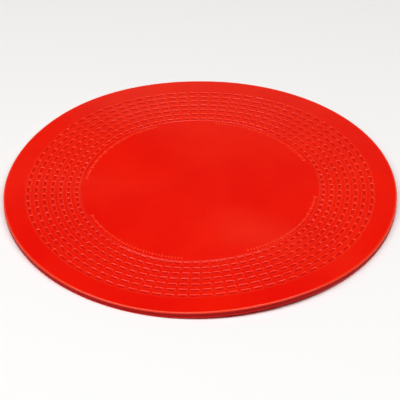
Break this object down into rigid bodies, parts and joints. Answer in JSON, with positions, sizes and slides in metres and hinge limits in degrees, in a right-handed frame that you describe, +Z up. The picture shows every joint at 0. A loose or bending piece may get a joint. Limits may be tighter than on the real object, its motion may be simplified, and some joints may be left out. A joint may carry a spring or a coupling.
{
  "type": "round non-slip pad",
  "caption": "Flat round flexible red rubber pad with a smooth middle, a fine raised ring, a wide band of shallow grip pockets, a plain border and a softly rounded rim.",
  "frame": {"origin": "centre of the underside, at the middle of the round outline", "axes": "+Z up through the thickness, the disc's axis; +X to the right and -Y to the front in the view the pad is usually shown from"},
  "size_m": [0.19, 0.19, 0.0035],
  "materials": {
    "red_rubber": "smooth satin-gloss red elastomer"
  },
  "bodies": {
    "root": {"pad_body": "red_rubber", "ring_bead": "red_rubber", "mark_arc_back_right": "red_rubber", "mark_arc_back_left": "red_rubber", "mark_arc_front_left": "red_rubber", "mark_arc_front_right": "red_rubber"}
  },
  "joints": []
}
